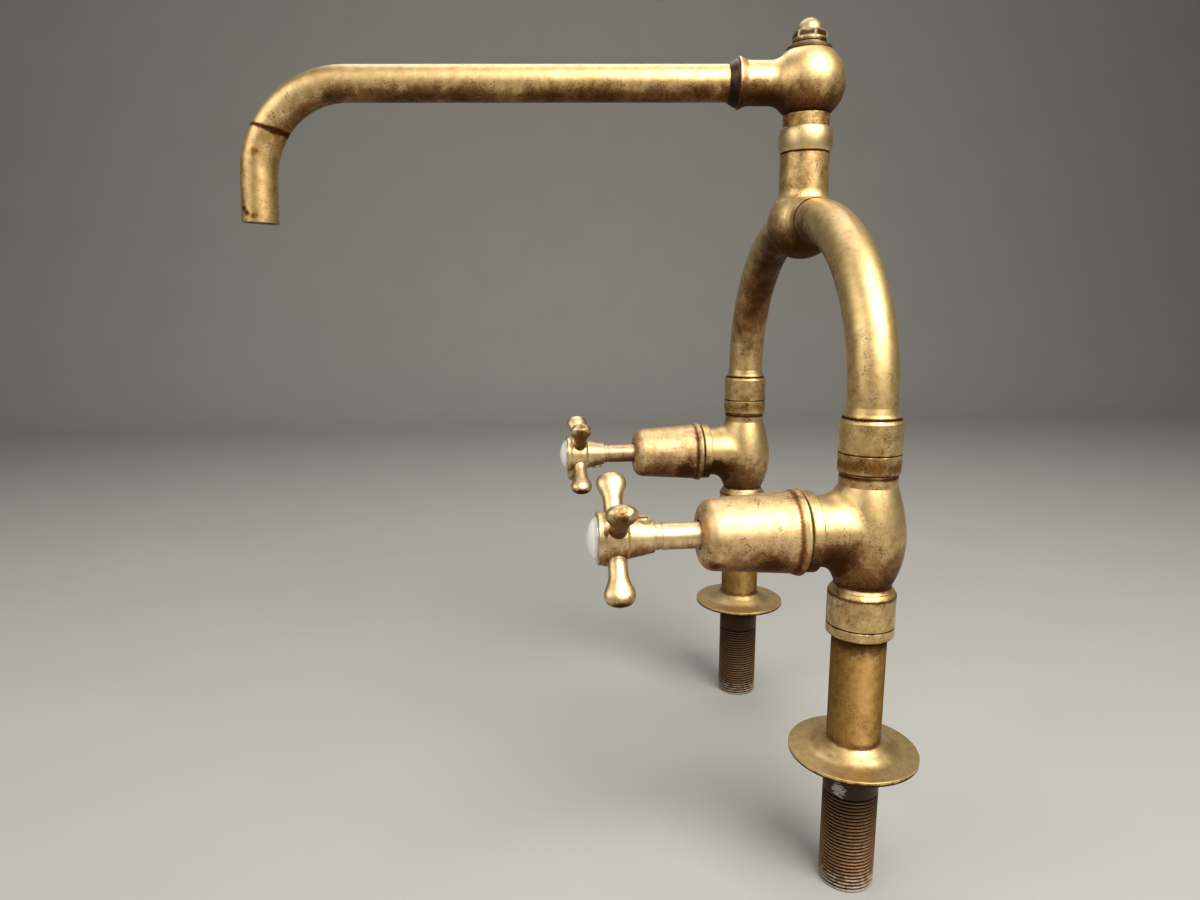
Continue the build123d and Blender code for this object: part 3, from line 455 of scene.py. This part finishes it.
def thread_material(side, x, lime, paint):
    """Old threaded brass: nearly black roots, brown crests, chalky lime, a smear of paint."""
    material, tree = new_material(f"{side}_threaded_brass")
    coords = add_node(tree, "ShaderNodeTexCoord")
    centred = add_node(tree, "ShaderNodeMapping", {"Location": (-x, 0, 0)},
                       {"Vector": coords.outputs["Object"]})
    split = add_node(tree, "ShaderNodeSeparateXYZ", None, {0: centred.outputs[0]})
    flat = add_node(tree, "ShaderNodeCombineXYZ", None,
                    {0: split.outputs["X"], 1: split.outputs["Y"]})
    radius = add_node(tree, "ShaderNodeVectorMath", {"operation": "LENGTH"}, {0: flat.outputs[0]})
    crest = add_node(tree, "ShaderNodeMapRange",
                     {"From Min": TAIL_R - 0.7 * THREAD_DEPTH, "From Max": TAIL_R},
                     {"Value": radius.outputs["Value"]})
    mottle = add_node(tree, "ShaderNodeTexNoise",
                      {"Scale": 1 / THREAD_MOTTLE_M, "Detail": 5.0, "Roughness": 0.7},
                      {"Vector": centred.outputs[0]})

    # rubbed brown crests lower down, nearly black higher up and in the roots
    worn = add_node(tree, "ShaderNodeMapRange",
                    {"From Min": RUB_HEIGHTS[0], "From Max": RUB_HEIGHTS[1], "To Min": 0.5,
                     "To Max": 1.0},
                    {"Value": split.outputs["Z"]})
    rub = add_node(tree, "ShaderNodeMath", {"operation": "MULTIPLY"},
                   {0: crest.outputs[0], 1: mottle.outputs["Fac"]})
    rub = add_node(tree, "ShaderNodeMath", {"operation": "MULTIPLY"},
                   {0: rub.outputs[0], 1: worn.outputs[0]})
    plain = add_node(tree, "ShaderNodeMapRange",
                     {"From Min": THREAD_HIGH - RUN_OUT, "From Max": THREAD_HIGH + RUN_OUT,
                      "To Min": 1.0, "To Max": 0.16}, {"Value": split.outputs["Z"]})
    rub = add_node(tree, "ShaderNodeMath", {"operation": "MULTIPLY"},
                   {0: rub.outputs[0], 1: plain.outputs[0]})
    brown = add_node(tree, "ShaderNodeValToRGB", None, {"Fac": rub.outputs[0]})
    brown.color_ramp.elements[0].color = linear("#26160C")
    brown.color_ramp.elements[1].color = linear("#A07C58")
    brown.color_ramp.elements[1].position = 0.50

    # lime on the lowest crests
    low = add_node(tree, "ShaderNodeMapRange",
                   {"From Min": THREAD_LOW + lime, "From Max": THREAD_LOW, "To Min": -0.20,
                    "To Max": 0.34},
                   {"Value": split.outputs["Z"]})
    chalk = add_node(tree, "ShaderNodeMath", {"operation": "ADD"},
                     {0: low.outputs[0], 1: mottle.outputs["Fac"]})
    chalk = add_node(tree, "ShaderNodeMapRange", {"From Min": 0.62, "From Max": 0.76},
                     {"Value": chalk.outputs[0]})
    chalk = add_node(tree, "ShaderNodeMath", {"operation": "MULTIPLY"},
                     {0: chalk.outputs[0], 1: crest.outputs[0]})

    # an old smear of pale paint on the plain part under the flange
    away = add_node(tree, "ShaderNodeVectorMath", {"operation": "DISTANCE", 1: PAINT_PLACE},
                    {0: centred.outputs[0]})
    near = add_node(tree, "ShaderNodeMapRange",
                    {"From Min": PAINT_REACH[0], "From Max": PAINT_REACH[1], "To Max": paint},
                    {"Value": away.outputs["Value"]})
    flattened = add_node(tree, "ShaderNodeMapping", {"Scale": (1, 1, 3.5)},
                         {"Vector": centred.outputs[0]})
    stroke = add_node(tree, "ShaderNodeTexNoise",
                      {"Scale": 1 / PAINT_STROKE_M, "Detail": 5.0, "Roughness": 0.7},
                      {"Vector": flattened.outputs[0]})
    smear = add_node(tree, "ShaderNodeMath", {"operation": "ADD"},
                     {0: near.outputs[0], 1: stroke.outputs["Fac"]})
    smear = add_node(tree, "ShaderNodeMapRange",
                     {"From Min": 0.98, "From Max": 1.05, "To Max": 0.85},
                     {"Value": smear.outputs[0]})
    smear = add_node(tree, "ShaderNodeMath", {"operation": "MULTIPLY"},
                     {0: smear.outputs[0], 1: crest.outputs[0]})

    colour = add_node(tree, "ShaderNodeMix", {"data_type": "RGBA", 7: linear("#A39B8C")},
                      {0: chalk.outputs[0], 6: brown.outputs[0]})
    colour = add_node(tree, "ShaderNodeMix", {"data_type": "RGBA", 7: linear("#A7A49C")},
                      {0: smear.outputs[0], 6: colour.outputs[2]})
    cover_up = add_node(tree, "ShaderNodeMath", {"operation": "MAXIMUM"},
                        {0: chalk.outputs[0], 1: smear.outputs[0]})
    metal = add_node(tree, "ShaderNodeMapRange", {"To Min": 0.85, "To Max": 0.0},
                     {"Value": cover_up.outputs[0]})
    bump = add_node(tree, "ShaderNodeBump", {"Strength": 0.4, "Distance": 0.0003},
                    {"Height": mottle.outputs["Fac"]})
    surface = add_node(tree, "ShaderNodeBsdfPrincipled", {"Roughness": 0.48},
                       {"Base Color": colour.outputs[2], "Metallic": metal.outputs[0],
                        "Normal": bump.outputs[0]})
    add_node(tree, "ShaderNodeOutputMaterial", None, {"Surface": surface.outputs[0]})
    return material


for side, sign in SIDES.items():
    tail = new_mesh_object(f"{side}_threaded_tail", lambda shape: make_tail(shape, sign * HALF))
    paint = 0.57 if side == "cold" else 0.0
    tail.data.materials.append(thread_material(side, sign * HALF, 0.020, paint))
    tail.data.materials.append(shaded_oxidised_leg_brass)
    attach(tail, "faucet")
    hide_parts(f"{side}_tail_pipe")


# ---- covers, headwork and spindles ---------------------------------------------------
# A turned bell cover hides each valve's headwork, with a dark fibre line behind its rim.
# The covers are worn pinkish where the zinc has gone; the hot spindle is reddish brown.
cover_brass = aged_brass("cover_brass", light="#EBCF9C", middle="#CBA46C", brown="#966A42",
                         tarnish_and_shade_colour="#5E381E", dirt=0.41, under_shade_and_tarnish=0.42, pits=0.5, roughness=0.52,
                         polish=0.3, seed=5.2, bands=[(OUT, -0.0365, 0.002, 0.3)],
                         spots=[((0.1166, -0.0500, 0.1005), 0.009, 0.35),
                                ((0.1146, -0.0740, 0.1010), 0.005, 0.3),
                                ((-0.0880, -0.0440, 0.1010), 0.011, 0.6)])
spindle_brass = aged_brass("spindle_brass", light="#EBD3A4", middle="#C9A670", dirt=0.22,
                           under_shade_and_tarnish=0.45, roughness=0.44, seed=3.3)
red_spindle_brass = aged_brass("red_spindle_brass", light="#DDBA92", middle="#BB9068",
                               brown="#8E5E42", tarnish_and_shade_colour="#5A3620", dirt=0.30, seed=3.9)
for side in SIDES:
    finish_node(f"{side}_cover", cover_brass)
    finish_node(f"{side}_headwork", body_brass)
    finish_node(f"{side}_gland_nut", body_brass)
    finish_node(f"{side}_jumper", body_brass)
finish_node("cold_spindle", spindle_brass)
finish_node("hot_spindle", red_spindle_brass)


def dark_seal(name, colour, roughness):
    """A matt dark seal with a slight grain."""
    material, tree = new_material(name)
    coords = add_node(tree, "ShaderNodeTexCoord")
    grain = add_node(tree, "ShaderNodeTexNoise", {"Scale": 1 / 0.0012, "Detail": 4.0},
                     {"Vector": coords.outputs["Object"]})
    tone = add_node(tree, "ShaderNodeValToRGB", None, {"Fac": grain.outputs["Fac"]})
    tone.color_ramp.elements[0].color = linear(colour)
    tone.color_ramp.elements[1].color = [channel * 1.9 for channel in linear(colour)[:3]] + [1.0]
    bump = add_node(tree, "ShaderNodeBump", {"Strength": 0.4, "Distance": 0.0002},
                    {"Height": grain.outputs["Fac"]})
    surface = add_node(tree, "ShaderNodeBsdfPrincipled", {"Roughness": roughness},
                       {"Base Color": tone.outputs[0], "Normal": bump.outputs[0]})
    add_node(tree, "ShaderNodeOutputMaterial", None, {"Surface": surface.outputs[0]})
    return material


fibre = dark_seal("red_fibre", "#24150E", 0.7)
rubber = dark_seal("black_rubber", "#101010", 0.6)
for side in SIDES:
    for name in ("bonnet_washer", "lower_union_washer", "upper_union_washer"):
        finish_node(f"{side}_{name}", fibre)
    for name in ("gland_packing", "jumper_washer"):
        finish_node(f"{side}_{name}", rubber)
for name in ("lower_packing", "upper_packing"):
    finish_node(name, rubber)
collar_brown = aged_brass("collar_brown", light="#564330", middle="#3A2B1D", brown="#2A1E14",
                          tarnish_and_shade_colour="#1B1410", dirt=0.35, roughness=0.42, polish=0.2, seed=18.2)
finish_node("spout_collar", collar_brown)


# ---- cross handles -------------------------------------------------------------------
# One casting each, hub, four lobes and boss, polished by hands on the lobes. A domed
# glazed porcelain disc is cemented in the bezel; a slotted grub screw grips the spindle.
VALVE_Z = 0.1124
TURNED = {"hot": 225.0, "cold": 36.8}    # degrees that each handle stands turned
LOBES_Y = -0.117
LOBE_TIP_R = 0.0315
LOBE_ROOT_R = 0.0125
DISC_Y = -0.125
CRAZE_M = 0.0022           # size of the glaze's fine cells


def round_handle(side, degrees, radius, out_y):
    """A point at an angle and radius from a valve's axis."""
    angle = math.radians(degrees)
    return (SIDES[side] * HALF + radius * math.cos(angle), out_y,
            VALVE_Z + radius * math.sin(angle))


def handle_material(side):
    """Cast brass with brown worn spots on the lobes' ends, and painted shade in the crevices where
    the lobes meet the hub.
    """
    lobes = [TURNED[side] + 90 * lobe for lobe in range(4)]
    tips = [(round_handle(side, lobe, LOBE_TIP_R, LOBES_Y), 0.007, 0.50) for lobe in lobes]
    # spots where the lobes meet the hub: painted shade in the crevices
    roots = [(round_handle(side, lobe, LOBE_ROOT_R, LOBES_Y), 0.006, 0.45) for lobe in lobes]
    return aged_brass(f"{side}_handle_brass", light="#EBD5A6", middle="#C49F66", dirt=0.25,
                      under_shade_and_tarnish=0.5, roughness=0.43, polish=0.5, seed=6.4, spots=tips + roots)


def screw_material(side):
    """The grub screw's brass, with painted shade along its slot."""
    angle = math.radians(TURNED[side] + 45)
    across = Vector((-math.sin(angle), 0, math.cos(angle)))
    middle = across.dot((SIDES[side] * HALF, 0, VALVE_Z))
    # the band along the slot is painted shade
    return aged_brass(f"{side}_screw_brass", dirt=0.3, under_shade_and_tarnish=0.2, seed=8.8,
                      bands=[(tuple(across), middle, 0.0009, 1.2)])


def porcelain_material(side, x):
    """Glazed porcelain: milky white, finely crazed, greyer and grimy towards its edge."""
    material, tree = new_material(f"{side}_glazed_porcelain")
    coords = add_node(tree, "ShaderNodeTexCoord")
    centred = add_node(tree, "ShaderNodeMapping", {"Location": (-x, -DISC_Y, -VALVE_Z)},
                       {"Vector": coords.outputs["Object"]})
    split = add_node(tree, "ShaderNodeSeparateXYZ", None, {0: centred.outputs[0]})
    flat = add_node(tree, "ShaderNodeCombineXYZ", None,
                    {0: split.outputs["X"], 1: split.outputs["Z"]})
    radius = add_node(tree, "ShaderNodeVectorMath", {"operation": "LENGTH"}, {0: flat.outputs[0]})
    edge = add_node(tree, "ShaderNodeMapRange",
                    {"From Min": 0.0085, "From Max": 0.0100, "To Max": 0.5},
                    {"Value": radius.outputs["Value"]})
    craze = add_node(tree, "ShaderNodeTexVoronoi",
                     {"feature": "DISTANCE_TO_EDGE", "Scale": 1 / CRAZE_M},
                     {"Vector": centred.outputs[0]})
    crack = add_node(tree, "ShaderNodeMapRange",
                     {"From Min": 0.035, "From Max": 0.0, "To Max": 0.22},
                     {"Value": craze.outputs["Distance"]})
    mark = add_node(tree, "ShaderNodeMath", {"operation": "MAXIMUM"},
                    {0: edge.outputs[0], 1: crack.outputs[0]})
    colour = add_node(tree, "ShaderNodeMix", {"data_type": "RGBA", 6: linear("#F8F6F0"),
                                              7: linear("#6A655A")}, {0: mark.outputs[0]})
    surface = add_node(tree, "ShaderNodeBsdfPrincipled",
                       {"Roughness": 0.16, "Coat Weight": 0.4, "Coat Roughness": 0.06},
                       {"Base Color": colour.outputs[2]})
    add_node(tree, "ShaderNodeOutputMaterial", None, {"Surface": surface.outputs[0]})
    return material


for side, sign in SIDES.items():
    finish_node(f"{side}_cross_handle", handle_material(side))
    finish_node(f"{side}_grub_screw", screw_material(side))
    finish_node(f"{side}_index_disc", porcelain_material(side, sign * HALF))


# ---- tee, bead collar and post -------------------------------------------------------
# The ball tee and its riser are one casting, brazed to the arms. The bead covers the
# joint to the post, whose short bare neck is badly pitted.
# Across the arms' roots the bands dull the lit edge of each boss with painted shade; the spot is
# dirt and painted shade in the hollow beneath the near arm's root.
tee_brass = aged_brass("tee_brass", dirt=0.29, under_shade_and_tarnish=0.75, pits=0.4, seed=11.2,
                       bands=[(UP, 0.2957, 0.0008, 0.6), (ACROSS, 0.0196, 0.0011, 0.55),
                              (ACROSS, -0.0196, 0.0011, 0.55)],
                       spots=[((0.0155, -0.004, 0.2455), 0.0075, 0.8)])
bead_brass = aged_brass("bead_brass", light="#E8D09C", dirt=0.20, under_shade_and_tarnish=0.2, roughness=0.45,
                        seed=12.9)
neck_brass = aged_brass("neck_brass", dirt=0.56, under_shade_and_tarnish=0.3, pits=1.0, polish=0.3, seed=13.5)
finish_node("tee_body", tee_brass)
finish_node("bead_collar", bead_brass)
finish_node("swivel_post", neck_brass)


# ---- swivel head, washer and dome nut ------------------------------------------------
# A brass ball, flat top and bottom, with the spout's socket cast on. A replaced acorn
# nut and washer, dull brown from damp, hold it down.
head_brass = aged_brass("head_brass", dirt=0.29, under_shade_and_tarnish=0.68, seed=14.6,
                        bands=[(UP, 0.3160, 0.0015, 0.4)])
nut_brass = aged_brass("nut_brass", light="#CDB88F", middle="#9C8661", brown="#735A3B",
                       tarnish_and_shade_colour="#46321F", dirt=0.34, under_shade_and_tarnish=0.4, polish=0.25, seed=15.8,
                       bands=[(UP, 0.3500, 0.0012, 0.4), (UP, 0.3518, 0.0025, 0.35),
                              (UP, 0.3555, 0.0024, 0.45)])
washer_brass = aged_brass("washer_brass", light="#8F774F", middle="#705A3C", brown="#58422B",
                          tarnish_and_shade_colour="#33251A", dirt=0.40, roughness=0.58, polish=0.1, seed=15.1)
HEX_LOW = 0.3536
HEX_SHOULDER = 0.3573
CORNER_R = 0.0091          # a little less than the hexagon's corners
# The nut's bright edges are worn brass and painted highlight.
BRIGHT_EDGE_M = 0.0004            # width of the worn edges


def wear_and_glint_edges(material, colour):
    """Brightens the nut's finish along the corners and rims of its hexagon: worn brass, and a
    painted highlight for the edges' glints.
    """
    tree = material.node_tree
    base = tree.nodes["Principled BSDF"].inputs["Base Color"]
    coords = add_node(tree, "ShaderNodeTexCoord")
    split = add_node(tree, "ShaderNodeSeparateXYZ", None, {0: coords.outputs["Object"]})
    height = split.outputs["Z"]
    flat = add_node(tree, "ShaderNodeVectorMath", {"operation": "MULTIPLY", 1: (1, 1, 0)},
                    {0: coords.outputs["Object"]})
    radius = add_node(tree, "ShaderNodeVectorMath", {"operation": "LENGTH"}, {0: flat.outputs[0]})
    corner = add_node(tree, "ShaderNodeMapRange",
                      {"From Min": CORNER_R - BRIGHT_EDGE_M, "From Max": CORNER_R},
                      {"Value": radius.outputs["Value"]})
    on_hex = add_node(tree, "ShaderNodeMath", {"operation": "GREATER_THAN", 1: HEX_LOW},
                      {0: height})
    worn = add_node(tree, "ShaderNodeMath", {"operation": "MULTIPLY"},
                    {0: corner.outputs[0], 1: on_hex.outputs[0]})
    for rim in (HEX_LOW, HEX_SHOULDER):
        above = add_node(tree, "ShaderNodeMath", {"operation": "SUBTRACT", 1: rim}, {0: height})
        away = add_node(tree, "ShaderNodeMath", {"operation": "ABSOLUTE"}, {0: above.outputs[0]})
        edge = add_node(tree, "ShaderNodeMapRange",
                        {"From Min": BRIGHT_EDGE_M, "From Max": BRIGHT_EDGE_M / 4, "To Max": 0.7},
                        {"Value": away.outputs[0]})
        worn = add_node(tree, "ShaderNodeMath", {"operation": "MAXIMUM"},
                        {0: worn.outputs[0], 1: edge.outputs[0]})
    part = add_node(tree, "ShaderNodeMath", {"operation": "MULTIPLY", 1: 0.8}, {0: worn.outputs[0]})
    rubbed_and_glinting = add_node(tree, "ShaderNodeMix", {"data_type": "RGBA", 7: linear(colour)},
                      {0: part.outputs[0], 6: base.links[0].from_socket})
    tree.links.new(rubbed_and_glinting.outputs[2], base)


wear_and_glint_edges(nut_brass, "#E0C9A2")
finish_node("swivel_head", head_brass)
finish_node("top_washer", washer_brass)
finish_node("dome_nut", nut_brass)


# ---- spout ---------------------------------------------------------------------------
# Drawn 3/4 in brass tube, bent cold, with a separate nozzle end brazed on part-way round
# the hook. The brazed line is dark, and brown streaks run along the underside.
SWING = math.radians(-95.5)
BRAZE_LEAN = math.radians(72)
BRAZE_OUT = 0.29038
BRAZE_Z = 0.3085
along_spout = Vector((math.cos(SWING), math.sin(SWING), 0))
braze_place = along_spout * BRAZE_OUT + Vector((0, 0, BRAZE_Z))
braze_normal = along_spout * math.cos(BRAZE_LEAN) - Vector((0, 0, math.sin(BRAZE_LEAN)))
braze_line = (tuple(braze_normal), braze_normal.dot(braze_place), 0.0022, 0.65)
nozzle_streak = [(along_spout * out + Vector((0.0085, 0, height)), 0.0026, 0.5)
                 for out, height in ((0.3070, 0.2700), (0.3055, 0.2670), (0.3030, 0.2645),
                                     (0.3000, 0.2630))]
nozzle_craze = along_spout * 0.2968 + Vector((0.0098, 0, 0.296))
spout_stains = [(along_spout * out + Vector((0.008, 0, height)), reach, 0.12)
                for out, height, reach in ((0.058, 0.3255, 0.010), (0.205, 0.3270, 0.016),
                                           (0.255, 0.3240, 0.012))]
spout_brass = aged_brass("spout_brass", dirt=0.19, under_shade_and_tarnish=0.60, seed=16.3, bands=[braze_line],
                         spots=spout_stains)
nozzle_brass = aged_brass("nozzle_brass", light="#DDBD80", middle="#B89355", dirt=0.36,
                          under_shade_and_tarnish=0.4, seed=17.1, bands=[braze_line],
                          spots=nozzle_streak + [(nozzle_craze, 0.0045, 0.24)])
finish_node("spout_tube", spout_brass)
finish_node("spout_nozzle", nozzle_brass)


# ---- sizes for the record ------------------------------------------------------------
# The CAD model's box and this model's, to be compared after each render.
def plain(box):
    """A box as plain lists of numbers."""
    return [[float(value) for value in corner] for corner in box]
